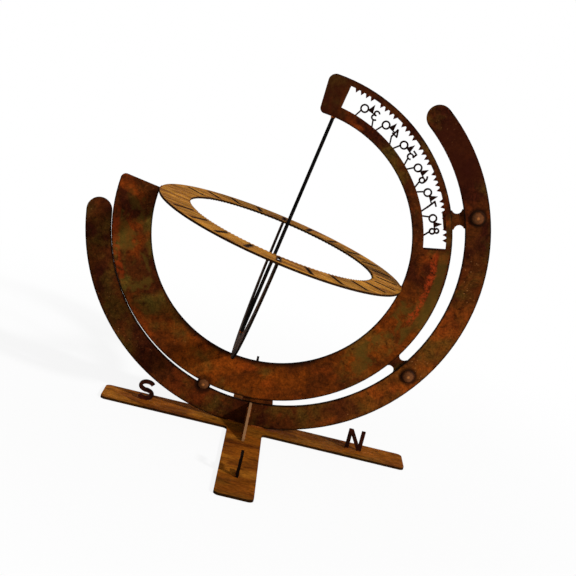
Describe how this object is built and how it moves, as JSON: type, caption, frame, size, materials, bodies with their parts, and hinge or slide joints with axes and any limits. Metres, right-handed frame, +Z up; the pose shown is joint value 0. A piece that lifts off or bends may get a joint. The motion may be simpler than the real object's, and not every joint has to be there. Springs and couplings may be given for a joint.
{
  "type": "armillary sundial",
  "caption": "Garden armillary sundial cut from rusted sheet steel: C-shaped latitude plate with pierced scale, hour ring, half hoop and rod, carried in a crescent on a cross base.",
  "frame": {"origin": "on the ground under the crescent's centre, which is the middle of the whole object's box", "axes": "+X north along the long base bar, +Y west, +Z up"},
  "size_m": [0.4649, 0.43, 0.4275],
  "materials": {
    "rust_sheet": "dark brown weathering steel, matt, mottled olive and orange",
    "rust_gold": "golden brown weathering steel, matt",
    "rust_trim": "orange brown weathering steel, matt",
    "rod": "blackened steel rod, satin",
    "fasteners": "weathered steel bolt, brown grey, satin"
  },
  "bodies": {
    "stand": {"base_cross": "rust_gold", "meridian_crescent": "rust_sheet", "gusset_east": "rust_trim", "gusset_west": "rust_trim", "letter_north": "rust_sheet", "letter_east": "rust_sheet", "letter_south": "rust_sheet", "letter_west": "rust_sheet", "index_tab": "rust_trim", "lower_tab": "rust_trim", "keeper_plate": "rust_sheet", "index_bolt": "fasteners", "lower_bolt": "fasteners", "pinch_bolt": "fasteners", "index_washer": "fasteners", "lower_washer": "fasteners", "pinch_washer": "fasteners", "index_nut": "fasteners", "lower_nut": "fasteners", "pinch_nut": "fasteners"},
    "dial": {"latitude_plate": "rust_sheet", "hour_ring": "rust_gold", "half_hoop": "rust_trim", "gnomon_rod": "rod"}
  },
  "joints": [
    {"name": "latitude_tilt", "type": "hinge", "parent": "stand", "child": "dial", "pos_m": [-0.0065, 0, 0.23226], "axis": [0, -1, 0], "range_deg": [-51, 5]}
  ]
}
